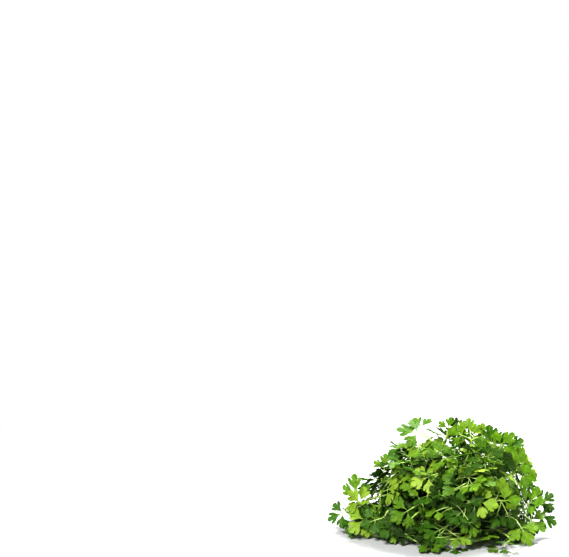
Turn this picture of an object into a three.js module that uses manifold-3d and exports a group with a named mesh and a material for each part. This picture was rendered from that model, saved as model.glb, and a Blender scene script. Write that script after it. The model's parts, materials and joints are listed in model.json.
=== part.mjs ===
// Coriander bunch
// A loose mound of cut coriander sprigs lying on a flat surface. Each sprig is one solid: a thin stalk that
// forks at its head into stems, with a leaf of three lobed leaflets at the end of each.
// Millimetres, +Z up. The origin lies on the surface, under the middle of the mound, and -Y is the front.

import * as THREE from "three";
import { mergeVertices } from "three/addons/utils/BufferGeometryUtils.js";
import Module from "manifold-3d";

const DEGREE = Math.PI / 180;
const GOLDEN_ANGLE = Math.PI * (3 - Math.sqrt(5));

// Leaves
const LEAFLET_LENGTH = 20.5;
const SIDE_LEAFLET_SHARE = 0.88;
const LEAFLET_SPREAD = 64 * DEGREE;
const LEAFLET_START = 1.6; // from the leaf's root to where a leaflet's own blade begins
const NOTCH_DEPTH = 3.2; // from the leaf's root to the cut between two leaflets
const ROOT_HALF_WIDTH = 1.1;
const ROOT_OVERHANG = 0.6; // of the blade behind the leaf's root, where the stem's end joins it
const BLADE_THICKNESS = 0.8;

// Stems
const STALK_HALF_WIDTH = 0.85;
const STEM_HALF_WIDTH = 0.7;
const STEM_SINK = 3; // how far a side stem runs on inside the stalk
const FORK_ANGLE = 62 * DEGREE;
const STEM_STEPS = 2;
const SIDE_STEM_STEPS = 3;
const STALK_STEPS = 4;

// Where a leaflet's outline turns, along its rib and to one side, in leaflet lengths
const SIDE_LOBE = [0.73, 0.385];
const CUT = [0.64, 0.14];
const LEAFLET_TIP = [1, 0];
const LEAFLET_MIDDLE = [0.5, 0];

// The mound that the sprigs' heads lie on: its sides are steep on the right and slope on the left
const MOUND = { middle: 5, leftWidth: 106, rightWidth: 90, halfDepth: 70, height: 101 };
const STEEPNESS = { front: 2.2, left: 1.6, right: 4.4 };
const OPENINGS = [ // in the front of the mound, where few leaves hide the stalks
  { x: -32, z: 48, radius: 11 },
  { x: 6, z: 24, radius: 15 },
  { x: 62, z: 30, radius: 15 },
];
const OUTER_SPRIGS = 29;
const INNER_SPRIGS = 3;
const INNER_SHARE = 0.6;
const SEED = 41;
const ATTEMPTS = 120; // to place a sprig
const FULL_SHARE = 0.7; // of the attempts that ask for a sprig with all its leaves
const LEAF_TRIES = 8; // to place a leaf on its sprig
const PLACED_STRAY = 6; // how far a placed sprig may be moved to find room

// Room that is kept round points spread over each thing, so that no sprig crosses another
const LEAF_ROOM = 1.9;
const STEM_ROOM = 1.6;
const LOWEST_MIDDLE = 1.6; // of anything that doesn't lie flat on the surface
const NEARLY_DOWN = [0.02, -0.03, -1];

// Sprigs that stand out of the mound or rest under it: where the head forks, which way it points and its leaves
// face, where its stalk ends, how long its middle stem and its leaflets are, and on which sides it has more leaves
const LEFT = 1;
const RIGHT = -1;
const PLACED = [
  { name: "left_spray", head: [-92, -22, 34], points: [-0.88, -0.1, -0.38], faces: [-0.1, -0.85, 0.5],
    stalkEnd: [-34, -8, 22], reach: 20, leaflet: 19, sides: [LEFT] },
  { name: "right_spray", head: [103, -14, 32], points: [0.9, -0.1, -0.3], faces: [0.1, -0.75, 0.65],
    stalkEnd: [34, -6, 24], reach: 13, leaflet: 19, sides: [LEFT, RIGHT] },
  { name: "crown_left", head: [-18, 2, 112], points: [-0.8, -0.1, 0.25], faces: [-0.2, -0.6, 0.8],
    stalkEnd: [4, 6, 62], reach: 9, leaflet: 21, sides: [LEFT, RIGHT] },
  { name: "crown_middle", head: [35, 10, 106], points: [-0.15, 0.05, 1], faces: [-0.2, -0.95, 0.3],
    stalkEnd: [18, 12, 52], reach: 7, leaflet: 18, sides: [LEFT, RIGHT] },
  { name: "crown_tip", head: [8, 26, 110], points: [0.12, 0, 1], faces: [0.2, -0.9, 0.3],
    stalkEnd: [0, 30, 70], reach: 4, leaflet: 13, sides: [] },
  { name: "crown_right", head: [60, 0, 97], points: [-0.2, 0, 1], faces: [-0.2, -0.8, 0.6],
    stalkEnd: [36, 10, 48], reach: 6, leaflet: 21, sides: [RIGHT] },
  { name: "right_shoulder", head: [80, -14, 74], points: [0.45, -0.1, 0.8], faces: [0.25, -0.9, 0.4],
    stalkEnd: [40, -2, 40], reach: 8, leaflet: 20, sides: [LEFT, RIGHT] },
  { name: "left_shoulder", head: [-64, 14, 64], points: [0.05, 0.1, 1], faces: [-0.3, -0.85, 0.3],
    stalkEnd: [-38, 10, 30], reach: 5, leaflet: 14, sides: [] },
  { name: "front_middle", head: [8, -60, 25], points: [-0.8, -0.45, -0.35], faces: [-0.1, -0.6, 0.8],
    stalkEnd: [20, -18, 44], reach: 9, leaflet: 22, sides: [] },
  { name: "front_rest", head: [18, -52, 6], points: [0.15, -1, 0], faces: [0, 0, 1], rests: true,
    stalkEnd: [12, -12, 20], reach: 13, leaflet: 17, sides: [LEFT, RIGHT] },
  { name: "front_right_rest", head: [78, -50, 7], points: [-0.75, -0.6, 0], faces: [0, 0, 1], rests: true,
    stalkEnd: [44, -16, 20], reach: 12, leaflet: 19, sides: [LEFT] },
  { name: "left_rest", head: [-66, 6, 6], points: [-1, 0.1, 0], faces: [0, 0, 1], rests: true,
    stalkEnd: [-24, 2, 12], reach: 13, leaflet: 19, sides: [LEFT, RIGHT] },
  { name: "back_left_rest", head: [-30, 50, 6], points: [-0.3, 1, 0], faces: [0, 0, 1], rests: true,
    stalkEnd: [-12, 12, 14], reach: 13, leaflet: 19, sides: [LEFT, RIGHT] },
  { name: "back_right_rest", head: [48, 46, 6], points: [0.5, 0.9, 0], faces: [0, 0, 1], rests: true,
    stalkEnd: [22, 8, 14], reach: 13, leaflet: 19, sides: [LEFT, RIGHT] },
  { name: "left_front", head: [-60, -46, 30], points: [-0.05, -0.3, -0.9], faces: [-0.1, -0.95, 0.3],
    stalkEnd: [-26, -14, 34], reach: 6, leaflet: 19, sides: [RIGHT] },
  { name: "left_face", head: [-7, -46, 80], points: [-0.85, -0.35, -0.3], faces: [-0.1, -0.75, 0.65],
    stalkEnd: [4, 0, 54], reach: 6, leaflet: 22, sides: [] },
  { name: "right_face", head: [34, -62, 54], points: [0.85, -0.35, -0.25], faces: [0.1, -0.75, 0.65],
    stalkEnd: [32, -8, 54], reach: 6, leaflet: 22, sides: [LEFT] },
  { name: "far_right_face", head: [64, -46, 54], points: [0.25, -0.2, 0.9], faces: [-0.1, -0.95, 0.3],
    stalkEnd: [36, -10, 26], reach: 6, leaflet: 21, sides: [LEFT, RIGHT] },
  { name: "middle_face", head: [26, -54, 72], points: [-0.8, -0.4, -0.3], faces: [0.1, -0.7, 0.7],
    stalkEnd: [14, -8, 50], reach: 5, leaflet: 20, sides: [] },
  { name: "left_low_face", head: [-30, -56, 44], points: [-0.8, -0.35, -0.45], faces: [-0.1, -0.85, 0.5],
    stalkEnd: [-10, -14, 36], reach: 6, leaflet: 21, sides: [] },
  { name: "left_upper", head: [-93, -8, 37], points: [-0.25, -0.05, 0.97], faces: [-0.6, -0.75, 0.2],
    stalkEnd: [-58, 2, 14], reach: 7, leaflet: 21, sides: [] },
];

// Vectors as arrays of three numbers
const times = (a, k) => [a[0] * k, a[1] * k, a[2] * k];
const away = (a, direction, distance) => a.map((x, i) => x + direction[i] * distance);
const dot = (a, b) => a[0] * b[0] + a[1] * b[1] + a[2] * b[2];
const cross = (a, b) => [a[1] * b[2] - a[2] * b[1], a[2] * b[0] - a[0] * b[2], a[0] * b[1] - a[1] * b[0]];
const unit = (a) => times(a, 1 / Math.sqrt(dot(a, a)));
const mix = (a, b, t) => away(times(a, 1 - t), b, t);

// A stream of numbers from 0 to 1 that is the same for the same seed
function randomStream(seed) {
  let state = seed >>> 0;
  return () => {
    state = (state + 0x6d2b79f5) >>> 0;
    let t = Math.imul(state ^ (state >>> 15), state | 1);
    t ^= t + Math.imul(t ^ (t >>> 7), t | 61);
    return ((t ^ (t >>> 14)) >>> 0) / 4294967296;
  };
}

const between = (random, low, high) => low + (high - low) * random();

// Axes along a direction (u), to its left (v) and out of the face (w)
function axesOf(points, faces) {
  const u = unit(points);
  const w = unit(away(faces, u, -dot(faces, u)));
  return { u, v: cross(w, u), w };
}

// A point of a leaf: along its middle rib, to the left of it and up from its face
function leafPoint(leaf, along, left, up) {
  const { u, v, w } = leaf.axes;
  return away(away(away(leaf.root, u, along), v, left), w, up);
}

// A point of a leaflet: x along its rib and y to the left, in leaflet lengths, on the leaf's bent surface
function leafletPoint(leaf, leaflet, x, y) {
  const length = leaf.length * leaflet.share;
  const along = LEAFLET_START + x * length;
  const left = y * length;
  const up = length * (leaflet.rise * x - leaf.droop * x * x + leaf.fold * Math.abs(y));
  const c = Math.cos(leaflet.angle);
  const s = Math.sin(leaflet.angle);
  return leafPoint(leaf, along * c - left * s, along * s + left * c, up);
}

// A point of a Bezier curve, whatever its number of control points
function curvePoint(controls, t) {
  let points = controls;
  while (points.length > 1) points = points.slice(1).map((p, i) => mix(points[i], p, t));
  return points[0];
}

const curvePoints = (controls, steps) =>
  Array.from({ length: steps + 1 }, (_, i) => curvePoint(controls, i / steps));

// Points spread over a leaflet under 4 mm apart, which stand for it when sprigs are kept clear of each other
const SPREAD = [[0.12, 0], [0.28, 0], [0.42, 0], [0.56, 0], [0.7, 0], [0.85, 0], LEAFLET_TIP];
for (const side of [LEFT, RIGHT]) {
  for (const [x, y] of [SIDE_LOBE, CUT, [0.3, 0.12], [0.45, 0.2], [0.58, 0.3], [0.62, 0.22], [0.83, 0.08]]) {
    SPREAD.push([x, side * y]);
  }
}

// A group of points with the room that each keeps, and a ball round them all
function group(points, room) {
  const centre = times(points.reduce((sum, p) => away(sum, p, 1)), 1 / points.length);
  const squares = points.map((p) => {
    const apart = away(p, centre, -1);
    return dot(apart, apart);
  });
  return { points, room, centre, radius: Math.sqrt(Math.max(...squares)) + room };
}

const closer = (a, b, distance) =>
  (a[0] - b[0]) ** 2 + (a[1] - b[1]) ** 2 + (a[2] - b[2]) ** 2 < distance * distance;

const touches = (a, b) =>
  closer(a.centre, b.centre, a.radius + b.radius) &&
  a.points.some((p) => b.points.some((q) => closer(p, q, a.room + b.room)));

const isClear = (groups, others) => groups.every((a) => !others.some((b) => touches(a, b)));

const isHigh = ({ points }) => points.every((p) => p[2] >= LOWEST_MIDDLE);

// One leaf, at a fork angle from the head's axis and bent a little at random
function growLeaf(site, axes, side, random, loose) {
  const flat = Boolean(site.rests) && side === 0;
  const bend = flat ? 0 : 1;
  const turn = side * FORK_ANGLE + between(random, -0.2, 0.2) * (1 + loose) * (side === 0 ? 0.4 : 1);
  const pitch = between(random, -0.55, 0.3) * (0.6 + loose);
  const roll = between(random, -0.4, 0.4) * (1 + loose);
  const stemLength = (side === 0 ? site.reach : site.reach * 0.55 + 8) * between(random, 0.9, 1.1);
  const length = site.leaflet * (side === 0 ? 1 : 0.92) * between(random, 0.92, 1.06);
  const droop = bend * between(random, 0.06, 0.26);
  const fold = bend * between(random, -0.2, 0.28);
  const rises = [0, 1, 2].map(() => bend * between(random, -0.14, 0.24));
  const out = away(times(axes.u, Math.cos(turn)), axes.v, Math.sin(turn));
  const level = unit([out[0], out[1], 0]);
  const points = flat ? level : away(out, axes.w, Math.sin(pitch));
  const faces = flat ? [0, 0, 1] : away(axes.w, axes.v, roll);
  const reach = flat ? level : unit(away(out, axes.w, Math.sin(pitch * 0.5)));
  const root = away(site.head, reach, stemLength);
  if (flat) root[2] = BLADE_THICKNESS / 2;
  const leaflets = [RIGHT, 0, LEFT].map((place, i) => ({
    angle: place * LEAFLET_SPREAD,
    share: place === 0 ? 1 : SIDE_LEAFLET_SHARE,
    rise: rises[i],
  }));
  return { root, axes: axesOf(points, faces), stemLength, length, flat, droop, fold, leaflets };
}

// The middles of a leaf's stem, from the leaf's root back to the fork and, for the middle leaf, along the stalk
function stemRoute(site, axes, leaf, side) {
  const bend = leafPoint(leaf, -0.45 * leaf.stemLength, 0, 0);
  if (side !== 0) {
    const fork = away(site.head, axes.u, 0.15 * leaf.stemLength);
    return curvePoints([leaf.root, bend, fork, away(site.head, axes.u, -STEM_SINK)], SIDE_STEM_STEPS);
  }
  const neck = away(site.head, axes.u, 0.35 * leaf.stemLength);
  const elbow = mix(site.head, site.stalkEnd, 0.65);
  return [
    ...curvePoints([leaf.root, bend, neck, site.head], STEM_STEPS),
    ...curvePoints([site.head, away(site.head, axes.u, -14), elbow, site.stalkEnd], STALK_STEPS).slice(1),
  ];
}

// Groups of points along a route, under 3 mm apart and one group for each stretch of it
function stemGroups(route) {
  return route.slice(1).map((p, i) => {
    const apart = away(p, route[i], -1);
    const steps = Math.ceil(Math.sqrt(dot(apart, apart)) / 3);
    const points = Array.from({ length: steps }, (_, k) => mix(route[i], p, (k + 1) / steps));
    return group(points, STEM_ROOM);
  });
}

// Tries to grow a whole sprig at its site, clear of the others
function growSprig(site, others, random, loose) {
  const axes = axesOf(site.points, site.faces);
  const leaves = [];
  const groups = [];
  const blades = [];
  for (const side of [0, ...site.sides]) {
    for (let k = 0; k < LEAF_TRIES; k += 1) {
      const leaf = growLeaf(site, axes, side, random, loose + k / LEAF_TRIES);
      leaf.route = stemRoute(site, axes, leaf, side);
      leaf.halfWidth = side === 0 ? STALK_HALF_WIDTH : STEM_HALF_WIDTH;
      const stems = stemGroups(leaf.route);
      const sheets = leaf.leaflets.map((leaflet) =>
        group(SPREAD.map(([x, y]) => leafletPoint(leaf, leaflet, x, y)), LEAF_ROOM),
      );
      if (!(leaf.flat ? stems.slice(1) : [...stems, ...sheets]).every(isHigh)) continue;
      if (!isClear([...stems, ...sheets], others) || !isClear(sheets, blades)) continue;
      leaves.push(leaf);
      groups.push(...stems, ...sheets);
      blades.push(...sheets);
      break;
    }
    if (!leaves.length) return null;
  }
  return { leaves, groups };
}

const isOpen = ([x, y, z]) =>
  y < 0 && OPENINGS.some((opening) => Math.hypot(x - opening.x, z - opening.z) < opening.radius);

// A place on the mound, where count sites follow a spiral and each attempt strays further from it
function moundSite(index, count, share, attempt, random) {
  const stray = 0.1 + (0.5 * attempt) / ATTEMPTS;
  const rise = (index + 0.5) / count + between(random, -stray, stray) * 0.5;
  const sine = Math.min(0.97, Math.max(0.02, rise));
  const azimuth = index * GOLDEN_ANGLE + between(random, -stray, stray) * 2;
  const depth = share * (1 - between(random, 0, 0.22));
  const heading = between(random, -110, 110) * DEGREE;
  const lift = between(random, -0.1, 0.6);
  const tilt = [0, 1, 2].map((i) => between(random, i === 2 ? -0.2 : -0.45, i === 2 ? 0.55 : 0.45));
  const dive = between(random, 0.45, 0.75);
  const reach = between(random, 8, 15);
  const leaflet = LEAFLET_LENGTH * between(random, 0.88, 1.08);
  const right = Math.cos(azimuth);
  const halfWidth = right < 0 ? MOUND.leftWidth : MOUND.rightWidth;
  const sidePower = right < 0 ? STEEPNESS.left : STEEPNESS.right;
  const power = STEEPNESS.front + (sidePower - STEEPNESS.front) * Math.abs(right);
  const wide = (1 - sine * sine) ** (1 / power);
  const high = sine ** (2 / power);
  const head = [
    MOUND.middle + right * wide * halfWidth * depth,
    Math.sin(azimuth) * wide * MOUND.halfDepth * depth,
    6 + high * MOUND.height * depth,
  ];
  const steep = wide ** (power - 1);
  const outward = unit([
    (right * steep) / halfWidth,
    (Math.sin(azimuth) * steep) / MOUND.halfDepth,
    high ** (power - 1) / MOUND.height + 0.0015,
  ]);
  const across = unit(cross(outward, NEARLY_DOWN));
  const down = cross(across, outward);
  const points = away(away(times(down, Math.cos(heading)), across, Math.sin(heading)), outward, lift);
  const stalkEnd = [
    head[0] * dive - points[0] * 22,
    head[1] * dive - points[1] * 22,
    Math.max(3, head[2] * dive - points[2] * 22),
  ];
  return { head, points, faces: away(outward, tilt, 1), stalkEnd, reach, leaflet, sides: [LEFT, RIGHT] };
}

// Every sprig of the bunch, each placed clear of the ones before it
function placeSprigs() {
  const sprigs = [];
  const taken = [];
  const keep = (name, sprig) => {
    sprigs.push({ name, leaves: sprig.leaves });
    taken.push(...sprig.groups);
  };
  PLACED.forEach((site, i) => {
    const random = randomStream(SEED * 1000 + i);
    for (let k = 0; k < ATTEMPTS; k += 1) {
      const stray = (PLACED_STRAY * k) / ATTEMPTS;
      const head = site.head.map((x) => x + between(random, -stray, stray));
      const sprig = growSprig({ ...site, head }, taken, random, k / ATTEMPTS);
      if (!sprig || sprig.leaves.length < 1 + site.sides.length) continue;
      keep(site.name, sprig);
      return;
    }
    throw new Error(`there is no room for ${site.name}`);
  });
  const growLayer = (layer, count, share, seed) => {
    let kept = 0;
    for (let i = 0; i < count; i += 1) {
      const random = randomStream(seed + i);
      for (let k = 0; k < ATTEMPTS; k += 1) {
        const site = moundSite(i, count, share, k, random);
        if (share === 1 && isOpen(site.head)) continue;
        const sprig = growSprig(site, taken, random, k / ATTEMPTS);
        if (!sprig || sprig.leaves.length < (k < ATTEMPTS * FULL_SHARE ? 3 : 2)) continue;
        kept += 1;
        keep(`${layer}_${String(kept).padStart(2, "0")}`, sprig);
        break;
      }
    }
  };
  growLayer("outer", OUTER_SPRIGS, 1, SEED * 2000);
  growLayer("inner", INNER_SPRIGS, INNER_SHARE, SEED * 3000);
  return sprigs;
}

// The corners of a leaf's three leaflets, the triangles between them, and the order of its outline's corners
// from one side of the root round to the other
function leafSheet(leaf) {
  const corners = [];
  const put = (p) => corners.push(p) - 1;
  const notch = (angle) => put(leafPoint(leaf, NOTCH_DEPTH * Math.cos(angle), NOTCH_DEPTH * Math.sin(angle), 0));
  const root = put(leafPoint(leaf, ROOT_OVERHANG, 0, 0));
  const notches = [
    put(leafPoint(leaf, -ROOT_OVERHANG, -ROOT_HALF_WIDTH, 0)),
    notch(-LEAFLET_SPREAD / 2),
    notch(LEAFLET_SPREAD / 2),
    put(leafPoint(leaf, -ROOT_OVERHANG, ROOT_HALF_WIDTH, 0)),
  ];
  const triangles = [[notches[0], root, notches[3]]];
  const outline = [];
  leaf.leaflets.forEach((leaflet, i) => {
    const place = ([x, y], side) => put(leafletPoint(leaf, leaflet, x, side * y));
    const right = [place(SIDE_LOBE, RIGHT), place(CUT, RIGHT)];
    const left = [place(CUT, LEFT), place(SIDE_LOBE, LEFT)];
    const edge = [notches[i], ...right, place(LEAFLET_TIP, LEFT), ...left];
    const middle = place(LEAFLET_MIDDLE, LEFT);
    const loop = [root, ...edge, notches[i + 1]];
    loop.forEach((a, k) => triangles.push([middle, a, loop[(k + 1) % loop.length]]));
    outline.push(...edge);
  });
  outline.push(notches[3]);
  return { corners, triangles, outline };
}

// Four-cornered sections of a stem, square to its route, turned as little as possible from one to the next
function stemSections(leaf) {
  const { route, halfWidth } = leaf;
  let left = leaf.axes.v;
  return route.slice(1).map((p, i) => {
    const next = route[Math.min(i + 2, route.length - 1)];
    const u = unit(away(route[i], next, -1));
    left = unit(away(left, u, -dot(left, u)));
    const up = cross(u, left);
    const corner = (a, b) => away(away(p, left, a * halfWidth), up, b * halfWidth);
    return [corner(1, 1), corner(-1, 1), corner(-1, -1), corner(1, -1)];
  });
}

// A leaf and its stem as one closed surface: the sheet moved up and down by half the thickness, walls along its
// outline, and the stem drawn back from the wall at its root
function leafGeometry(leaf) {
  const { corners, triangles, outline } = leafSheet(leaf);
  const half = BLADE_THICKNESS / 2;
  const count = corners.length;
  const points = [
    ...corners.map((p) => away(p, leaf.axes.w, half)),
    ...corners.map((p) => away(p, leaf.axes.w, -half)),
  ];
  const faces = [];
  for (const [a, b, c] of triangles) faces.push(a, b, c, c + count, b + count, a + count);
  outline.slice(1).forEach((b, k) => {
    const a = outline[k];
    faces.push(b, a, a + count, b, a + count, b + count);
  });
  const first = outline[0];
  const last = outline[outline.length - 1];
  let section = [last, first, first + count, last + count];
  for (const corner of stemSections(leaf)) {
    const next = corner.map((p) => points.push(p) - 1);
    section.forEach((a, k) => {
      const b = section[(k + 1) % 4];
      faces.push(a, next[k], next[(k + 1) % 4], a, next[(k + 1) % 4], b);
    });
    section = next;
  }
  const [a, b, c, d] = section;
  faces.push(a, c, b, a, d, c);
  const geometry = new THREE.BufferGeometry();
  geometry.setAttribute("position", new THREE.Float32BufferAttribute(points.flat(), 3));
  geometry.setIndex(faces);
  return geometry;
}

const wasm = await Module();
wasm.setup();

function solidOf(geometry) {
  const merged = mergeVertices(geometry, 1e-4);
  return new wasm.Manifold(
    new wasm.Mesh({
      numProp: 3,
      vertProperties: merged.attributes.position.array,
      triVerts: new Uint32Array(merged.index.array),
    }),
  );
}

// A sprig's leaves and stems fused into one solid
function sprigGeometry(sprig) {
  const fused = sprig.leaves.map((leaf) => solidOf(leafGeometry(leaf))).reduce((whole, leaf) => whole.add(leaf));
  const mesh = fused.getMesh();
  const geometry = new THREE.BufferGeometry();
  geometry.setAttribute("position", new THREE.BufferAttribute(mesh.vertProperties, 3));
  geometry.setIndex(new THREE.BufferAttribute(mesh.triVerts, 1));
  geometry.computeVertexNormals();
  return geometry;
}

const LEAF_GREEN = new THREE.MeshStandardMaterial({ color: 0x5c9a24, roughness: 0.55, metalness: 0 });

function buildBunch() {
  const bunch = new THREE.Group();
  const box = new THREE.Box3();
  for (const sprig of placeSprigs()) {
    const mesh = new THREE.Mesh(sprigGeometry(sprig), LEAF_GREEN);
    mesh.name = `sprig_${sprig.name}`;
    bunch.add(mesh);
    box.expandByObject(mesh, true);
  }
  const middle = box.getCenter(new THREE.Vector3());
  bunch.children.forEach((mesh) => mesh.position.set(-middle.x, -middle.y, 0));
  return bunch;
}

export default buildBunch();
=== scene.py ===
# The looks of the coriander bunch. Each CAD sprig is replaced by a finer one on the same leaves and stems.
# Small sprigs and single leaves fill the mound. The layout is in millimetres and the pieces are in metres.
import json
import math
from collections import namedtuple

import bpy
import numpy as np
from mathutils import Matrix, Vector
from mathutils.bvhtree import BVHTree

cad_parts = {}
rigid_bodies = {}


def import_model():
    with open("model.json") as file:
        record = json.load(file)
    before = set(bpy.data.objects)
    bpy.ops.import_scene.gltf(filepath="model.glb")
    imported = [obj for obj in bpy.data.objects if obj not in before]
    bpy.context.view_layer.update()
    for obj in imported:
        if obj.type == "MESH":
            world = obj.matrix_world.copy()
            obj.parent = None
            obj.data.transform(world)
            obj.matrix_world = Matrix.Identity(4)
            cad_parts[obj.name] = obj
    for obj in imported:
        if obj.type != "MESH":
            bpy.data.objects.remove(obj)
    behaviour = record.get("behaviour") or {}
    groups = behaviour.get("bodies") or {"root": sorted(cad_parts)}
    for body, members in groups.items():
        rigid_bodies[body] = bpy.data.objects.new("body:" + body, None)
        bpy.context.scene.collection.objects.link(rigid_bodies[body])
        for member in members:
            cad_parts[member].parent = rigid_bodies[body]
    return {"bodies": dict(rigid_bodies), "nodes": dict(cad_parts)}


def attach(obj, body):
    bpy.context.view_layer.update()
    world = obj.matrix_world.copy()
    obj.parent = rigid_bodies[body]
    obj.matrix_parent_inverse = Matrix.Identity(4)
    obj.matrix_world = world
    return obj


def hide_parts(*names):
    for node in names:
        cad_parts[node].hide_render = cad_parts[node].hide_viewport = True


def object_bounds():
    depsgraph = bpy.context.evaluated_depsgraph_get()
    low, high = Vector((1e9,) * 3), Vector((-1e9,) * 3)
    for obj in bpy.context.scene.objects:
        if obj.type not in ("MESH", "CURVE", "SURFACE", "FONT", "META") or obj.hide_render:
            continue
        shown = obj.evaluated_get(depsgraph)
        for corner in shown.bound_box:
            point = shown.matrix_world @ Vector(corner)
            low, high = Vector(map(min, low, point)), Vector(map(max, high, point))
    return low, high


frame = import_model()

MM = 0.001
DEGREE = math.pi / 180
GOLDEN_ANGLE = math.pi * (3 - math.sqrt(5))

# Leaves, as in the CAD
LEAFLET_LENGTH = 20.5
SIDE_LEAFLET_SHARE = 0.88
LEAFLET_SPREAD = 64 * DEGREE
LEAFLET_START = 1.6  # from the leaf's root to where a leaflet's own blade begins
BLADE_THICKNESS = 0.8
SIDE_LOBE = (0.73, 0.385)
CUT = (0.64, 0.14)

# Stems, as in the CAD
STEM_SINK = 3  # how far a side stem runs on inside the stalk
FORK_ANGLE = 62 * DEGREE
STEM_STEPS = 2
SIDE_STEM_STEPS = 3
STALK_STEPS = 4

# The mound and how its sprigs are placed, as in the CAD
MOUND_MIDDLE = 5
LEFT_WIDTH = 106
RIGHT_WIDTH = 90
MOUND_HALF_DEPTH = 70
MOUND_HEIGHT = 101
FRONT_STEEPNESS = 2.2
LEFT_STEEPNESS = 1.6
RIGHT_STEEPNESS = 4.4
OPENINGS = [(-32, 48, 11), (6, 24, 15), (62, 30, 15)]  # in the mound's front: x, z and radius
OUTER_SPRIGS = 29
INNER_SPRIGS = 3
INNER_SHARE = 0.6
SEED = 41
ATTEMPTS = 120  # to place a sprig
FULL_SHARE = 0.7  # of the attempts that ask for a sprig with all its leaves
LEAF_TRIES = 8  # to place a leaf on its sprig
PLACED_STRAY = 6  # how far a placed sprig may be moved to find room
LEAF_ROOM = 1.9
STEM_ROOM = 1.6
LOWEST_MIDDLE = 1.6  # of anything that doesn't lie flat on the surface
STALK_BACK = 22  # how far a stalk's end lies against its sprig's direction
NEARLY_DOWN = (0.02, -0.03, -1)

# Fine detail
SHELL_THICKNESS = 0.28
RIB_DEPTH = 0.35  # of the middle rib below the blade, at the leaflet's base
PETIOLE_RADIUS = 0.62
STALK_RADIUS = 0.95
LOWEST_POINT = 0.1

LEFT = 1
RIGHT = -1
BOTH = (LEFT, RIGHT)

# The CAD's placed sprigs: name, head, direction, facing, stalk's end, reach, leaflet length, leaf sides
PLACED = [
    ("left_spray", (-92, -22, 34), (-0.88, -0.1, -0.38), (-0.1, -0.85, 0.5), (-34, -8, 22), 20, 19, (LEFT,)),
    ("right_spray", (103, -14, 32), (0.9, -0.1, -0.3), (0.1, -0.75, 0.65), (34, -6, 24), 13, 19, BOTH),
    ("crown_left", (-18, 2, 112), (-0.8, -0.1, 0.25), (-0.2, -0.6, 0.8), (4, 6, 62), 9, 21, BOTH),
    ("crown_middle", (35, 10, 106), (-0.15, 0.05, 1), (-0.2, -0.95, 0.3), (18, 12, 52), 7, 18, BOTH),
    ("crown_tip", (8, 26, 110), (0.12, 0, 1), (0.2, -0.9, 0.3), (0, 30, 70), 4, 13, ()),
    ("crown_right", (60, 0, 97), (-0.2, 0, 1), (-0.2, -0.8, 0.6), (36, 10, 48), 6, 21, (RIGHT,)),
    ("right_shoulder", (80, -14, 74), (0.45, -0.1, 0.8), (0.25, -0.9, 0.4), (40, -2, 40), 8, 20, BOTH),
    ("left_shoulder", (-64, 14, 64), (0.05, 0.1, 1), (-0.3, -0.85, 0.3), (-38, 10, 30), 5, 14, ()),
    ("front_middle", (8, -60, 25), (-0.8, -0.45, -0.35), (-0.1, -0.6, 0.8), (20, -18, 44), 9, 22, ()),
    ("front_rest", (18, -52, 6), (0.15, -1, 0), (0, 0, 1), (12, -12, 20), 13, 17, BOTH),
    ("front_right_rest", (78, -50, 7), (-0.75, -0.6, 0), (0, 0, 1), (44, -16, 20), 12, 19, (LEFT,)),
    ("left_rest", (-66, 6, 6), (-1, 0.1, 0), (0, 0, 1), (-24, 2, 12), 13, 19, BOTH),
    ("back_left_rest", (-30, 50, 6), (-0.3, 1, 0), (0, 0, 1), (-12, 12, 14), 13, 19, BOTH),
    ("back_right_rest", (48, 46, 6), (0.5, 0.9, 0), (0, 0, 1), (22, 8, 14), 13, 19, BOTH),
    ("left_front", (-60, -46, 30), (-0.05, -0.3, -0.9), (-0.1, -0.95, 0.3), (-26, -14, 34), 6, 19, (RIGHT,)),
    ("left_face", (-7, -46, 80), (-0.85, -0.35, -0.3), (-0.1, -0.75, 0.65), (4, 0, 54), 6, 22, ()),
    ("right_face", (34, -62, 54), (0.85, -0.35, -0.25), (0.1, -0.75, 0.65), (32, -8, 54), 6, 22, (LEFT,)),
    ("far_right_face", (64, -46, 54), (0.25, -0.2, 0.9), (-0.1, -0.95, 0.3), (36, -10, 26), 6, 21, BOTH),
    ("middle_face", (26, -54, 72), (-0.8, -0.4, -0.3), (0.1, -0.7, 0.7), (14, -8, 50), 5, 20, ()),
    ("left_low_face", (-30, -56, 44), (-0.8, -0.35, -0.45), (-0.1, -0.85, 0.5), (-10, -14, 36), 6, 21, ()),
    ("left_upper", (-93, -8, 37), (-0.25, -0.05, 0.97), (-0.6, -0.75, 0.2), (-58, 2, 14), 7, 21, ()),
]


# Vectors as tuples of three numbers
def times(a, k):
    return (a[0] * k, a[1] * k, a[2] * k)


def away(a, direction, distance):
    return (a[0] + direction[0] * distance, a[1] + direction[1] * distance, a[2] + direction[2] * distance)


def dot(a, b):
    return a[0] * b[0] + a[1] * b[1] + a[2] * b[2]


def cross(a, b):
    return (a[1] * b[2] - a[2] * b[1], a[2] * b[0] - a[0] * b[2], a[0] * b[1] - a[1] * b[0])


def unit(a):
    return times(a, 1 / math.sqrt(dot(a, a)))


def mix(a, b, t):
    return away(times(a, 1 - t), b, t)


class Stream:
    """Numbers from 0 to 1 that are the same for the same seed, as in the CAD."""

    def __init__(self, seed):
        self.state = seed & 0xFFFFFFFF

    def between(self, low, high):
        self.state = (self.state + 0x6D2B79F5) & 0xFFFFFFFF
        t = ((self.state ^ (self.state >> 15)) * (self.state | 1)) & 0xFFFFFFFF
        t ^= (t + (((t ^ (t >> 7)) * (t | 61)) & 0xFFFFFFFF)) & 0xFFFFFFFF
        return low + (high - low) * ((t ^ (t >> 14)) & 0xFFFFFFFF) / 4294967296


# Where a sprig grows
Site = namedtuple("Site", "head points faces stalk_end reach leaflet sides rests", defaults=(False,))


class Leaf:
    """One leaf: its root, axes, bend and three leaflets, its stem's curves and the seed of its shape."""


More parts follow.
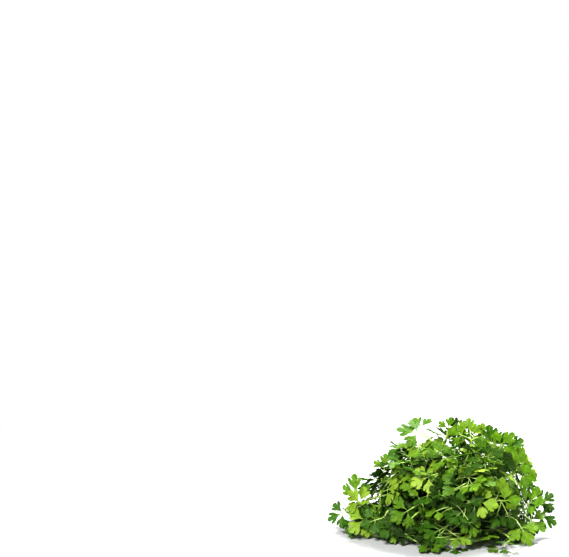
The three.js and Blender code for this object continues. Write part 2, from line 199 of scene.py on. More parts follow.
def axes_of(points, faces):
    u = unit(points)
    w = unit(away(faces, u, -dot(faces, u)))
    return u, cross(w, u), w


# Points that stand for a leaflet's blade, in leaflet lengths: on its middle rib, and off it on one side
ON_RIB = [(0.12, 0), (0.28, 0), (0.42, 0), (0.56, 0), (0.7, 0), (0.85, 0), (1, 0)]
OFF_RIB = [SIDE_LOBE, CUT, (0.3, 0.12), (0.45, 0.2), (0.58, 0.3), (0.62, 0.22), (0.83, 0.08)]
SPREAD = np.array(ON_RIB + [(x, side * y) for side in (LEFT, RIGHT) for x, y in OFF_RIB])


def leaflet_points(leaf, k, x, y):
    """Points of a leaf's leaflet k, at x along its rib and y to the left, in leaflet lengths."""
    angle, share, rise = leaf.leaflets[k]
    length = leaf.length * share
    along = LEAFLET_START + x * length
    left = y * length
    up = length * (rise * x - leaf.droop * x * x + leaf.fold * np.abs(y))
    c, s = math.cos(angle), math.sin(angle)
    u, v, w = (np.array(a) for a in leaf.axes)
    return (
        np.array(leaf.root)
        + (along * c - left * s)[:, None] * u
        + (along * s + left * c)[:, None] * v
        + up[:, None] * w
    )


def bezier(controls, steps):
    """Points of a Bezier curve with four controls."""
    t = np.linspace(0, 1, steps + 1)[:, None]
    a, b, c, d = (np.array(p, float) for p in controls)
    s = 1 - t
    return s * s * s * a + 3 * s * s * t * b + 3 * s * t * t * c + t * t * t * d


def grow_leaf(site, axes, side, random, loose):
    """A leaf on a sprig's middle or side stem. A looser one may turn further from its place."""
    flat = site.rests and side == 0
    bend = 0 if flat else 1
    u, v, w = axes
    turn = side * FORK_ANGLE + random.between(-0.2, 0.2) * (1 + loose) * (0.4 if side == 0 else 1)
    pitch = random.between(-0.55, 0.3) * (0.6 + loose)
    roll = random.between(-0.4, 0.4) * (1 + loose)
    stem_length = (site.reach if side == 0 else site.reach * 0.55 + 8) * random.between(0.9, 1.1)
    leaf = Leaf()
    leaf.length = site.leaflet * (1 if side == 0 else 0.92) * random.between(0.92, 1.06)
    leaf.droop = bend * random.between(0.06, 0.26)
    leaf.fold = bend * random.between(-0.2, 0.28)
    rises = [bend * random.between(-0.14, 0.24) for _ in range(3)]
    out = away(times(u, math.cos(turn)), v, math.sin(turn))
    level = unit((out[0], out[1], 0))
    points = level if flat else away(out, w, math.sin(pitch))
    faces = (0, 0, 1) if flat else away(w, v, roll)
    reach = level if flat else unit(away(out, w, math.sin(pitch * 0.5)))
    root = away(site.head, reach, stem_length)
    leaf.root = (root[0], root[1], BLADE_THICKNESS / 2) if flat else root
    leaf.axes = axes_of(points, faces)
    leaf.flat = flat
    leaf.seed = random.state
    leaf.leaflets = [
        (place * LEAFLET_SPREAD, 1 if place == 0 else SIDE_LEAFLET_SHARE, rise)
        for place, rise in zip((RIGHT, 0, LEFT), rises)
    ]
    bend_point = away(leaf.root, leaf.axes[0], -0.45 * stem_length)
    if side != 0:
        fork = away(site.head, u, 0.15 * stem_length)
        leaf.curves = [(leaf.root, bend_point, fork, away(site.head, u, -STEM_SINK))]
    else:
        neck = away(site.head, u, 0.35 * stem_length)
        elbow = mix(site.head, site.stalk_end, 0.65)
        leaf.curves = [
            (leaf.root, bend_point, neck, site.head),
            (site.head, away(site.head, u, -14), elbow, site.stalk_end),
        ]
    return leaf


def stem_stretches(leaf):
    """Points along each stretch of a leaf's stem, under 3 mm apart."""
    steps = (STEM_STEPS, STALK_STEPS) if len(leaf.curves) == 2 else (SIDE_STEM_STEPS,)
    route = [bezier(curve, n) for curve, n in zip(leaf.curves, steps)]
    route = np.vstack([route[0]] + [part[1:] for part in route[1:]])
    stretches = []
    for a, b in zip(route, route[1:]):
        count = math.ceil(math.sqrt(((b - a) ** 2).sum()) / 3)
        share = (np.arange(count) + 1)[:, None] / count
        stretches.append(a * (1 - share) + b * share)
    return stretches


class Taken:
    """Points that stand for the leaves and stems placed so far, with the room that each keeps."""

    def __init__(self):
        self.points = np.zeros((0, 3))
        self.rooms = np.zeros(0)

    def add(self, points, rooms):
        self.points = np.vstack([self.points, points])
        self.rooms = np.concatenate([self.rooms, rooms])

    def is_clear(self, points, rooms):
        if not len(self.points):
            return True
        reach = LEAF_ROOM * 2
        low = points.min(0) - reach
        high = points.max(0) + reach
        near = ((self.points > low) & (self.points < high)).all(1)
        if not near.any():
            return True
        others = self.points[near]
        apart = (points**2).sum(1)[:, None] + (others**2).sum(1)[None, :] - 2 * points @ others.T
        wanted = rooms[:, None] + self.rooms[near][None, :]
        return not (apart < wanted * wanted).any()


def grow_sprig(site, taken, random, loose, passes=None):
    """The sprig's leaves and the points that they take, or None where its middle leaf finds no room."""
    axes = axes_of(site.points, site.faces)
    leaves = []
    blades = Taken()
    whole = Taken()
    for side in (0, *site.sides):
        for k in range(LEAF_TRIES):
            leaf = grow_leaf(site, axes, side, random, loose + k / LEAF_TRIES)
            sheets = np.vstack([leaflet_points(leaf, i, SPREAD[:, 0], SPREAD[:, 1]) for i in range(3)])
            sheet_rooms = np.full(len(sheets), LEAF_ROOM)
            if not leaf.flat and sheets[:, 2].min() < LOWEST_MIDDLE:
                continue
            if not blades.is_clear(sheets, sheet_rooms) or not taken.is_clear(sheets, sheet_rooms):
                continue
            stems = stem_stretches(leaf)
            raised = stems[1:] if leaf.flat else stems
            if min(part[:, 2].min() for part in raised) < LOWEST_MIDDLE:
                continue
            stems = np.vstack(stems)
            stem_rooms = np.full(len(stems), STEM_ROOM)
            if not taken.is_clear(stems, stem_rooms):
                continue
            if passes and not passes(leaf):
                continue
            leaves.append(leaf)
            whole.add(np.vstack([stems, sheets]), np.concatenate([stem_rooms, sheet_rooms]))
            blades.add(sheets, sheet_rooms)
            break
        if not leaves:
            return None
    return leaves, whole


def is_open(point):
    x, y, z = point
    return y < 0 and any(math.hypot(x - left, z - up) < radius for left, up, radius in OPENINGS)


def mound_surface(azimuth, sine, depth):
    """A point at a share of the way out to the mound's surface, and the direction out of it there."""
    right = math.cos(azimuth)
    half_width = LEFT_WIDTH if right < 0 else RIGHT_WIDTH
    steepness = LEFT_STEEPNESS if right < 0 else RIGHT_STEEPNESS
    power = FRONT_STEEPNESS + (steepness - FRONT_STEEPNESS) * abs(right)
    wide = (1 - sine * sine) ** (1 / power)
    high = sine ** (2 / power)
    head = (
        MOUND_MIDDLE + right * wide * half_width * depth,
        math.sin(azimuth) * wide * MOUND_HALF_DEPTH * depth,
        6 + high * MOUND_HEIGHT * depth,
    )
    steep = wide ** (power - 1)
    outward = unit(
        (
            right * steep / half_width,
            math.sin(azimuth) * steep / MOUND_HALF_DEPTH,
            high ** (power - 1) / MOUND_HEIGHT + 0.0015,
        )
    )
    return head, outward


def along_surface(outward, heading, lift):
    """A direction along the mound's surface, or lifted off it."""
    across = unit(cross(outward, NEARLY_DOWN))
    down = cross(across, outward)
    return away(away(times(down, math.cos(heading)), across, math.sin(heading)), outward, lift)


def inner_end(head, points, dive):
    """The end of a stalk, inside the mound."""
    return (
        head[0] * dive - points[0] * STALK_BACK,
        head[1] * dive - points[1] * STALK_BACK,
        max(3, head[2] * dive - points[2] * STALK_BACK),
    )


def mound_site(index, count, share, attempt, random):
    """A place on the mound, as in the CAD."""
    stray = 0.1 + (0.5 * attempt) / ATTEMPTS
    rise = (index + 0.5) / count + random.between(-stray, stray) * 0.5
    sine = min(0.97, max(0.02, rise))
    azimuth = index * GOLDEN_ANGLE + random.between(-stray, stray) * 2
    depth = share * (1 - random.between(0, 0.22))
    heading = random.between(-110, 110) * DEGREE
    lift = random.between(-0.1, 0.6)
    tilt = [random.between(-0.2 if i == 2 else -0.45, 0.55 if i == 2 else 0.45) for i in range(3)]
    dive = random.between(0.45, 0.75)
    reach = random.between(8, 15)
    leaflet = LEAFLET_LENGTH * random.between(0.88, 1.08)
    head, outward = mound_surface(azimuth, sine, depth)
    points = along_surface(outward, heading, lift)
    return Site(head, points, away(outward, tilt, 1), inner_end(head, points, dive), reach, leaflet, BOTH)


def place_cad_sprigs():
    """The CAD's sprigs, each with its name and leaves, and the points that they take."""
    sprigs = []
    taken = Taken()

    def keep(name, grown):
        leaves, whole = grown
        sprigs.append((name, leaves))
        taken.add(whole.points, whole.rooms)

    for i, (name, head, points, faces, stalk_end, reach, leaflet, sides) in enumerate(PLACED):
        random = Stream(SEED * 1000 + i)
        for k in range(ATTEMPTS):
            stray = (PLACED_STRAY * k) / ATTEMPTS
            moved = tuple(x + random.between(-stray, stray) for x in head)
            site = Site(moved, points, faces, stalk_end, reach, leaflet, sides, name.endswith("_rest"))
            grown = grow_sprig(site, taken, random, k / ATTEMPTS)
            if grown and len(grown[0]) == 1 + len(sides):
                keep(name, grown)
                break
    for layer, count, share, seed in [
        ("outer", OUTER_SPRIGS, 1, SEED * 2000),
        ("inner", INNER_SPRIGS, INNER_SHARE, SEED * 3000),
    ]:
        kept = 0
        for i in range(count):
            random = Stream(seed + i)
            for k in range(ATTEMPTS):
                site = mound_site(i, count, share, k, random)
                if share == 1 and is_open(site.head):
                    continue
                grown = grow_sprig(site, taken, random, k / ATTEMPTS)
                if not grown or len(grown[0]) < (3 if k < ATTEMPTS * FULL_SHARE else 2):
                    continue
                kept += 1
                keep(f"{layer}_{kept:02d}", grown)
                break
    return sprigs, taken


# Half of a leaflet's outline from its base to its tip, in leaflet lengths, with deep and with shallow cuts
DEEP = np.array(
    [(0, 0.012), (0.12, 0.035), (0.24, 0.08), (0.35, 0.145), (0.425, 0.22), (0.475, 0.29)]
    + [(0.525, 0.33), (0.55, 0.31), (0.605, 0.35), (0.67, 0.395), (0.7, 0.368), (0.74, 0.375)]
    + [(0.795, 0.38), (0.8, 0.34), (0.835, 0.3), (0.79, 0.25), (0.715, 0.185), (0.645, 0.125)]
    + [(0.71, 0.135), (0.775, 0.165), (0.835, 0.2), (0.85, 0.165), (0.915, 0.16), (0.92, 0.12)]
    + [(0.97, 0.1), (0.965, 0.062), (1, 0.035), (1.01, 0)]
)
SHALLOW = np.array(
    [(0, 0.012), (0.1, 0.05), (0.2, 0.115), (0.3, 0.2), (0.38, 0.275), (0.43, 0.32)]
    + [(0.485, 0.345), (0.51, 0.325), (0.57, 0.36), (0.635, 0.39), (0.665, 0.362), (0.71, 0.362)]
    + [(0.76, 0.36), (0.77, 0.322), (0.805, 0.295), (0.785, 0.265), (0.765, 0.235), (0.748, 0.208)]
    + [(0.775, 0.205), (0.815, 0.215), (0.86, 0.22), (0.87, 0.18), (0.925, 0.17), (0.93, 0.13)]
    + [(0.975, 0.105), (0.97, 0.065), (1, 0.038), (1.01, 0)]
)
# Where the line across the blade to each of those points leaves the middle rib
RIB = np.array(
    [0, 0.09, 0.165, 0.205, 0.225, 0.242, 0.262, 0.283, 0.305, 0.325, 0.35, 0.375, 0.4, 0.43]
    + [0.455, 0.468, 0.48, 0.5, 0.56, 0.61, 0.65, 0.7, 0.755, 0.81, 0.86, 0.905, 0.955, 1.01]
)
LAST_ROW = len(DEEP) - 1
MOST_SHALLOW = 0.75  # of the way from the deep outline to the shallow one that a leaf may be
TOOTH_TIPS = (6, 9, 12, 14, 20, 22, 24, 26)
NOTCHES = (7, 10, 13, 17, 21, 23, 25)

# How a blade curls, waves, folds and strays from its outline, in leaflet lengths
SIDE_CURL = 0.05
TIP_CURL = 0.06
WAVE_HEIGHT = 0.018
WAVES = 1.6  # along a leaflet
PLEAT_HEIGHT = 0.01
RIB_SINK = 0.006
HALF_WIDTH = 0.38
OUTLINE_STRAY = 0.005
OUTWARD_WIDENING = 0.08  # share of the width

# A leaflet's corners: rows of the outline, and shares of the way out from the middle rib
FINE_ROWS = list(range(LAST_ROW + 1))
FINE_COLUMNS = (0, 0.35, 0.7, 1)
COARSE_ROWS = [0, 2, 4, 6, 7, 9, 10, 12, 13, 14, 17, 20, 21, 22, 23, 24, LAST_ROW]
COARSE_COLUMNS = (0, 0.55, 1)

TOP, UNDERSIDE, STEM, CUT_END = range(4)


class Template:
    """The corners and faces of a leaflet: an upper and a lower sheet that meet along the outline."""

    def __init__(self, rows, columns):
        self.places = {}
        corners = []
        sizes = []
        kinds = []
        last = len(rows) - 1
        edge = len(columns) - 1

        def corner(level, side, i, j):
            if i == last:
                key = (0, 0, rows[i], 0)
            elif j == 0:
                key = (level if i else 0, 0, rows[i], 0)
            elif i == 0 or j == edge:
                key = (0, side, rows[i], columns[j])
            else:
                key = (level, side, rows[i], columns[j])
            return self.places.setdefault(key, len(self.places))

        for level, kind in ((1, TOP), (-1, UNDERSIDE)):
            for side in (LEFT, RIGHT):
                for i in range(last):
                    for j in range(edge):
                        loop = [
                            corner(level, side, i, j),
                            corner(level, side, i + 1, j),
                            corner(level, side, i + 1, j + 1),
                            corner(level, side, i, j + 1),
                        ]
                        loop = [c for k, c in enumerate(loop) if c != loop[k - 1]]
                        corners += loop if level * side > 0 else loop[::-1]
                        sizes.append(len(loop))
                        kinds.append(kind)
        self.corners = np.array(corners)
        self.sizes = np.array(sizes)
        self.kinds = np.array(kinds)
        keys = np.array(list(self.places))
        self.level = keys[:, 0]
        self.side = keys[:, 1].astype(int)
        self.row = keys[:, 2].astype(int)
        self.out = keys[:, 3]
        ends = np.cumsum(self.sizes)
        loops = [self.corners[b - a : b] for a, b in zip(self.sizes, ends)]
        self.leaf_faces = [(loop + k * len(keys)).tolist() for k in range(3) for loop in loops]


FINE = Template(FINE_ROWS, FINE_COLUMNS)
MEDIUM = Template(FINE_ROWS, COARSE_COLUMNS)
COARSE = Template(COARSE_ROWS, COARSE_COLUMNS)

VEINS = np.isin(FINE_ROWS, TOOTH_TIPS).astype(float)
PLEATS = VEINS - np.isin(FINE_ROWS, NOTCHES)


class Build:
    """The corners, faces and marks of one piece."""

    def __init__(self):
        self.points = []
        self.corners = []
        self.sizes = []
        self.kinds = []
        self.maps = []
        self.marks = []
        self.count = 0

    def add(self, points, corners, sizes, kinds, maps, veins, tone, shade):
        self.points.append(points)
        self.corners.append(corners + self.count)
        self.sizes.append(sizes)
        self.kinds.append(kinds)
        self.maps.append(maps)
        self.marks.append(np.zeros((len(points), 3)) + np.stack(np.broadcast_arrays(veins, tone, shade), -1))
        self.count += len(points)


def shape_leaflet(leaf, k, template, lively):
    """A leaflet's points, and where on the blade and how near a vein each is."""
    angle, share, rise = leaf.leaflets[k]
    length = leaf.length * share
    outline = DEEP + (SHALLOW - DEEP) * MOST_SHALLOW * (leaf.seed % 1000) / 1000
    rng = np.random.RandomState((leaf.seed + 1 + k) % 2**32)
    edges = [outline]
    curls = [0.0]
    for side in (LEFT, RIGHT):
        outward = side * (k - 1)  # 1 on the side away from the middle leaflet, -1 towards it
        width = 1 + OUTWARD_WIDENING * outward + rng.uniform(-0.02, 0.12)
        strayed = outline + rng.normal(0, OUTLINE_STRAY, outline.shape)
        strayed[:, 1] *= width
        strayed[0] = outline[0]
        strayed[-1] = outline[-1]
        edges.append(strayed)
        curls.append(rng.uniform(-0.9, 0.7))
    edge = np.array(edges)[template.side, template.row]
    curl = np.array(curls)[template.side]
    start = RIB[template.row]
    x = start + (edge[:, 0] - start) * template.out
    y = template.side * edge[:, 1] * template.out
    wave = rng.uniform(0, 2 * math.pi)
    tip_curl = rng.uniform(-0.35, 0.9)
    up = rise * x - leaf.droop * x * x + leaf.fold * np.abs(y)
    up += SIDE_CURL * lively * curl * (y / HALF_WIDTH) ** 2
    up += WAVE_HEIGHT * lively * np.sin(2 * math.pi * WAVES * x + wave + template.side) * template.out**2
    up -= TIP_CURL * lively * tip_curl * x**4
    up -= PLEAT_HEIGHT * PLEATS[template.row] * np.sin(math.pi * template.out * 0.8)
    up -= RIB_SINK * (template.side == 0)
    up = up * length
    thickness = SHELL_THICKNESS * (1 - 0.5 * template.out) + RIB_DEPTH * (1 - x) * (template.side == 0)
    up -= thickness * (template.level < 0)
    along = LEAFLET_START + x * length
    left = y * length
    c, s = math.cos(angle), math.sin(angle)
    u, v, w = (np.array(a) for a in leaf.axes)
    points = np.array(leaf.root) + np.outer(along * c - left * s, u) + np.outer(along * s + left * c, v)
    points += np.outer(up, w)
    veins = VEINS[template.row] * (1 - 0.45 * template.out) * (1 - 0.4 * (template.side == 0))
    return points, np.stack([start, y], 1), veins


class Seen:
    """The blades that are seen from outside, as meshes that other blades mustn't pass through."""

    def __init__(self):
        self.trees = []
        self.lows = []
        self.highs = []

    def is_clear(self, leaf, template, lively):
        """Whether a leaf's own mesh is clear of them all. The leaf keeps its mesh, to be added later."""
        points = np.vstack([shape_leaflet(leaf, k, template, lively)[0] for k in range(3)])
        leaf.tree = BVHTree.FromPolygons(points.tolist(), template.leaf_faces)
        leaf.low = points.min(0)
        leaf.high = points.max(0)
        if not self.trees:
            return True
        near = ((np.array(self.lows) < leaf.high) & (np.array(self.highs) > leaf.low)).all(1)
        return not any(self.trees[i].overlap(leaf.tree) for i in np.nonzero(near)[0])

    def test_for(self, template, lively):
        return lambda leaf: self.is_clear(leaf, template, lively)

    def add(self, leaves):
        for leaf in leaves:
            self.trees.append(leaf.tree)
            self.lows.append(leaf.low)
            self.highs.append(leaf.high)


def add_leaflet(build, leaf, k, template, rng, lively):
    points, maps, veins = shape_leaflet(leaf, k, template, lively)
    tone = leaf.tone + rng.uniform(-LEAFLET_TONE_SPREAD, LEAFLET_TONE_SPREAD)
    build.add(points, template.corners, template.sizes, template.kinds, maps, veins, tone, leaf.shade)


def add_tube(build, path, radii, sides, tone, shade, cut=False):
    """A round stem along a path, thinning to its first point, with a cut end where cut is true."""
    path = np.asarray(path, float)
    tangents = np.gradient(path, axis=0)
    tangents /= np.linalg.norm(tangents, axis=1)[:, None]
    left = np.cross(tangents[0], (0.3, 0.2, 1))
    left /= np.linalg.norm(left)
    turns = np.arange(sides) * 2 * math.pi / sides
    rings = []
    for p, t, radius in zip(path, tangents, radii):
        left = left - t * (left @ t)
        left /= np.linalg.norm(left)
        up = np.cross(t, left)
        rings.append(p + radius * (np.outer(np.cos(turns), left) + np.outer(np.sin(turns), up)))
    points = np.vstack(rings)
    first = np.arange((len(path) - 1) * sides)
    beside = first - first % sides + (first + 1) % sides
    walls = np.stack([first, first + sides, beside + sides, beside], 1).ravel()
    ring = np.arange(sides)
    corners = np.concatenate([walls, ring, (ring + (len(path) - 1) * sides)[::-1]])
    sizes = np.array([4] * len(first) + [sides, sides])
    kinds = np.array([STEM] * (len(first) + 1) + [CUT_END if cut else STEM])
    lengths = np.concatenate([[0], np.cumsum(np.linalg.norm(np.diff(path, axis=0), axis=1))])
    maps = np.stack([np.repeat(lengths / 10, sides), np.tile(turns / (2 * math.pi), len(path))], 1)
    build.add(points, corners, sizes, kinds, maps, 0, tone, shade)


# How much the blades curl and wave
SPRIG_LIVELINESS = 1.0
SIDE_LIVELINESS = 1.5
FILL_LIVELINESS = 1.9

# From the darkest green, 0, to the palest, 1
SPRIG_TONES = (0.2, 0.68)
# The crown's sprigs get paler tones than the others: painted light on the top of the mound.
CROWN_LIT_TONES = (0.42, 0.6)
PALEST = 0.86
TONE_SPREAD = 0.13
LEAFLET_TONE_SPREAD = 0.06
TOP_LIGHT_TONE = 0.2  # painted light: leaves are paler higher up, more on top, growing between those heights
TOP_LIGHT_HEIGHTS = (55, 115)

# Ribs under the blades: places along the leaflet, radii there, and how far below the blade they run
MIDDLE_RIB = np.array([0.5, 0.3, 0.12])
MIDDLE_RIB_RADII = np.array([0.12, 0.22, 0.32])
MIDDLE_RIB_DROP = 0.3
SIDE_RIB = np.array([0.4, 0.22, 0.08, -0.08])
SIDE_RIB_RADII = np.array([0.1, 0.2, 0.3, 0.32])
SIDE_RIB_DROP = 0.28

# Stems: steps along them, sides around them, and how much thinner the added ones are
MIDDLE_STEM_STEPS = (7, 13)  # along the stem and along the stalk
OTHER_STEM_STEPS = (9,)
FORK_SWELLING = 1.25
FINE_STEM_SIDES = 8
FILL_STEM_SIDES = 6
SIDE_THINNESS = 0.9
FILL_THINNESS = 0.85


def rib_path(leaf, k, places, drop):
    return leaflet_points(leaf, k, places, np.zeros(len(places))) - np.array(leaf.axes[2]) * drop


def stem_path(leaf, thin):
    """The way and the radii of a leaf's middle rib, its stem and, on a sprig's middle leaf, the stalk."""
    has_stalk = len(leaf.curves) == 2
    steps = MIDDLE_STEM_STEPS if has_stalk else OTHER_STEM_STEPS
    route = [bezier(curve, n) for curve, n in zip(leaf.curves, steps)]
    rib = rib_path(leaf, 1, MIDDLE_RIB, MIDDLE_RIB_DROP)
    path = np.vstack([rib, route[0]] + [part[1:] for part in route[1:]])
    start = len(rib)
    share = np.clip((np.arange(len(path)) - start) / steps[0], 0, 1)
    radii = PETIOLE_RADIUS * (0.75 + 0.35 * share) * thin
    radii[:start] = MIDDLE_RIB_RADII * thin
    if has_stalk:
        beyond = np.clip((np.arange(len(path)) - start - steps[0]) / steps[1], 0, 1)
        radii += (STALK_RADIUS - PETIOLE_RADIUS) * thin * np.clip(beyond * 4, 0, 1)
        radii[start + steps[0]] *= FORK_SWELLING
    return path, radii


def add_sprig(build, leaves, template, rng, stem_sides, tones, thin=1.0, lively=SPRIG_LIVELINESS):
    sprig_tone = rng.uniform(*tones)
    low, high = TOP_LIGHT_HEIGHTS
    for leaf in leaves:
        # Painted light: leaves higher on the mound are made paler, as if lit from above.
        top_light = min(1, max(0, (leaf.root[2] - low) / (high - low)))
        leaf.tone = min(PALEST, max(0, sprig_tone + rng.normal(0, TONE_SPREAD) + TOP_LIGHT_TONE * top_light))
        leaf.shade = rng.uniform(0, 1)
        for k in range(3):
            add_leaflet(build, leaf, k, template, rng, lively)
        path, radii = stem_path(leaf, thin)
        add_tube(build, path, radii, stem_sides, leaf.tone, leaf.shade, cut=len(leaf.curves) == 2)
        for k in (0, 2):
            rib = rib_path(leaf, k, SIDE_RIB, SIDE_RIB_DROP)
            add_tube(build, rib, SIDE_RIB_RADII * thin, stem_sides, leaf.tone, leaf.shade)


def sharpen_borders(mesh, kinds):
    """Marks the edges between faces of different kinds as sharp."""
    edges = np.zeros(len(kinds), np.int32)
    mesh.loops.foreach_get("edge_index", edges)
    low = np.full(len(mesh.edges), 9)
    high = np.full(len(mesh.edges), -1)
    np.minimum.at(low, edges, kinds)
    np.maximum.at(high, edges, kinds)
    sharp = mesh.attributes.new("sharp_edge", "BOOLEAN", "EDGE")
    sharp.data.foreach_set("value", low != high)


def finish_piece(name, build, shift, materials):
    mesh = bpy.data.meshes.new(name)
    points = np.vstack(build.points) + shift
    points[:, 2] = np.maximum(points[:, 2], LOWEST_POINT)
    corners = np.concatenate(build.corners)
    sizes = np.concatenate(build.sizes)
    kinds = np.concatenate(build.kinds)
    mesh.vertices.add(len(points))
    mesh.vertices.foreach_set("co", (points * MM).ravel())
    mesh.loops.add(len(corners))
    mesh.loops.foreach_set("vertex_index", corners.astype(np.int32))
    mesh.polygons.add(len(sizes))
    mesh.polygons.foreach_set("loop_start", (np.cumsum(sizes) - sizes).astype(np.int32))
    mesh.polygons.foreach_set("material_index", kinds.astype(np.int32))
    mesh.update(calc_edges=True)
    mesh.polygons.foreach_set("use_smooth", np.ones(len(sizes), bool))
    for material in materials:
        mesh.materials.append(material)
    layer = mesh.uv_layers.new(name="leaf")
    layer.data.foreach_set("uv", np.vstack(build.maps)[corners].astype(np.float32).ravel())
    marks = np.vstack(build.marks)
    for i, mark in enumerate(("vein", "tone", "shade")):
        attribute = mesh.attributes.new(mark, "FLOAT", "POINT")
        attribute.data.foreach_set("value", marks[:, i].astype(np.float32))
    sharpen_borders(mesh, np.repeat(kinds, sizes))
    mesh.update()
    piece = bpy.data.objects.new(name, mesh)
    bpy.context.scene.collection.objects.link(piece)
    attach(piece, "root")
    return piece


class Nodes:
    """Short calls for making the nodes of a material or of the world."""

    def __init__(self, owner):
        owner.use_nodes = True
        self.owner = owner
        self.tree = owner.node_tree
        self.tree.nodes.clear()

    def make(self, kind, **values):
        node = self.tree.nodes.new(kind)
        for key, value in values.items():
            setattr(node, key, value)
        return node

    def link(self, a, b):
        self.tree.links.new(a, b)

    def put(self, socket, value):
        if isinstance(value, bpy.types.NodeSocket):
            self.link(value, socket)
        else:
            socket.default_value = value

    def math(self, operation, *values, clamp=False):
        node = self.make("ShaderNodeMath", operation=operation, use_clamp=clamp)
        for socket, value in zip(node.inputs, values):
            self.put(socket, value)
        return node.outputs[0]

    def mark(self, name):
        return self.make("ShaderNodeAttribute", attribute_name=name).outputs["Fac"]

    def mix(self, factor, a, b):
        node = self.make("ShaderNodeMix", data_type="RGBA")
        self.put(node.inputs["Factor"], factor)
        self.put(node.inputs["A"], a)
        self.put(node.inputs["B"], b)
        return node.outputs["Result"]

    def ramp(self, factor, positions, colours):
        node = self.make("ShaderNodeValToRGB")
        while len(node.color_ramp.elements) < len(positions):
            node.color_ramp.elements.new(0.5)
        for element, position, rgb in zip(node.color_ramp.elements, positions, colours):
            element.position = position
            element.color = colour(*rgb)
        self.put(node.inputs["Fac"], factor)
        return node.outputs["Color"]

    def noise(self, vector, scale, detail=2.0, roughness=0.5):
        node = self.make("ShaderNodeTexNoise")
        self.put(node.inputs["Vector"], vector)
        node.inputs["Scale"].default_value = scale
        node.inputs["Detail"].default_value = detail
        node.inputs["Roughness"].default_value = roughness
        return node.outputs["Fac"]

    def place(self):
        return self.make("ShaderNodeTexCoord").outputs["Object"]

    def across(self):
        """How far from a leaflet's middle rib or how far around a stem a point is."""
        split = self.make("ShaderNodeSeparateXYZ")
        self.link(self.make("ShaderNodeUVMap", uv_map="leaf").outputs["UV"], split.inputs[0])
        return split.outputs["Y"]

    def bump(self, height, strength, distance):
        node = self.make("ShaderNodeBump")
        node.inputs["Strength"].default_value = strength
        node.inputs["Distance"].default_value = distance
        self.link(height, node.inputs["Height"])
        return node.outputs[0]

    def shader(self, base, roughness):
        node = self.make("ShaderNodeBsdfPrincipled")
        self.put(node.inputs["Base Color"], base)
        self.put(node.inputs["Roughness"], roughness)
        return node

    def finish(self, surface, output="ShaderNodeOutputMaterial"):
        """The material or world with that surface."""
        self.link(surface, self.make(output).inputs["Surface"])
        return self.owner


def colour(red, green, blue):
    return (red, green, blue, 1)


# Sizes of the leaves' patterns, as texture scales
BLOTCHES = 260.0
GRAIN = 1400.0
VEIN_CELLS = 900.0
STEM_BLOTCHES = 180.0
STEM_RIDGES = 8  # around a stem
RIB_HALF_WIDTH = 0.016  # in leaflet lengths


def vein_pattern(n, place):
    """How near a point is to the larger veins, and to the fine network between them, from 0 to 1."""
    from_rib = n.math("ABSOLUTE", n.across())
    rib = n.math("SUBTRACT", 1.0, n.math("DIVIDE", from_rib, RIB_HALF_WIDTH), clamp=True)
    side_vein = n.math("POWER", n.mark("vein"), 3.0)
    veins = n.math("MAXIMUM", n.math("MULTIPLY", rib, 0.9), n.math("MULTIPLY", side_vein, 0.8))
    cells = n.make("ShaderNodeTexVoronoi", feature="DISTANCE_TO_EDGE")
    n.link(place, cells.inputs["Vector"])
    cells.inputs["Scale"].default_value = VEIN_CELLS
    network = n.math("SUBTRACT", 1.0, n.math("MULTIPLY", cells.outputs["Distance"], 6.0), clamp=True)
    return veins, network


def leaf_material(name, greens, vein_colour, through, roughness, relief):
    """A leaf's upper side, into which the veins sink, or its underside, where the relief is below zero."""
    n = Nodes(bpy.data.materials.new(name))
    place = n.place()
    veins, network = vein_pattern(n, place)
    blotch = n.noise(place, BLOTCHES, 3.0)
    grain = n.noise(place, GRAIN, 2.0)
    tone = n.math("ADD", n.mark("tone"), n.math("MULTIPLY", n.math("SUBTRACT", blotch, 0.5), 0.5))
    tone = n.math("ADD", tone, n.math("MULTIPLY", n.math("SUBTRACT", grain, 0.5), 0.16), clamp=True)
    base = n.ramp(tone, LEAF_TONES, greens)
    veined = n.math("ADD", n.math("MULTIPLY", veins, 0.5), n.math("MULTIPLY", network, 0.08), clamp=True)
    base = n.mix(veined, base, colour(*vein_colour))
    height = n.math("SUBTRACT", n.math("MULTIPLY", grain, 0.15), n.math("MULTIPLY", veins, relief))
    height = n.math("SUBTRACT", height, n.math("MULTIPLY", network, 0.12 * relief))
    normal = n.bump(height, 0.35, 0.0004)
    shader = n.shader(base, n.math("ADD", n.math("MULTIPLY", blotch, 0.18), roughness - 0.09))
    shader.inputs["Specular IOR Level"].default_value = 0.22
    n.link(normal, shader.inputs["Normal"])
    lit = n.make("ShaderNodeBsdfTranslucent")
    n.link(n.ramp(tone, LEAF_TONES, through), lit.inputs["Color"])
    n.link(normal, lit.inputs["Normal"])
    both = n.make("ShaderNodeMixShader")
    both.inputs[0].default_value = 0.5
    n.link(shader.outputs[0], both.inputs[1])
    n.link(lit.outputs[0], both.inputs[2])
    return n.finish(both.outputs[0])


def stem_material(name, greens, roughness):
    n = Nodes(bpy.data.materials.new(name))
    ridges = n.math("SINE", n.math("MULTIPLY", n.across(), 2 * math.pi * STEM_RIDGES))
    blotch = n.noise(n.place(), STEM_BLOTCHES, 3.0)
    shade = n.math("MULTIPLY", n.mark("shade"), 0.5)
    tone = n.math("ADD", shade, n.math("MULTIPLY", blotch, 0.5), clamp=True)
    lightening = n.math("MULTIPLY", n.math("ADD", ridges, 1.0), 0.08)
    green = n.ramp(tone, np.linspace(0, 1, len(greens)), greens)
    base = n.mix(lightening, green, colour(0.62, 0.74, 0.36))
    shader = n.shader(base, n.math("ADD", n.math("MULTIPLY", blotch, 0.2), roughness - 0.1))
    n.link(n.bump(ridges, 0.3, 0.0002), shader.inputs["Normal"])
    return n.finish(shader.outputs[0])


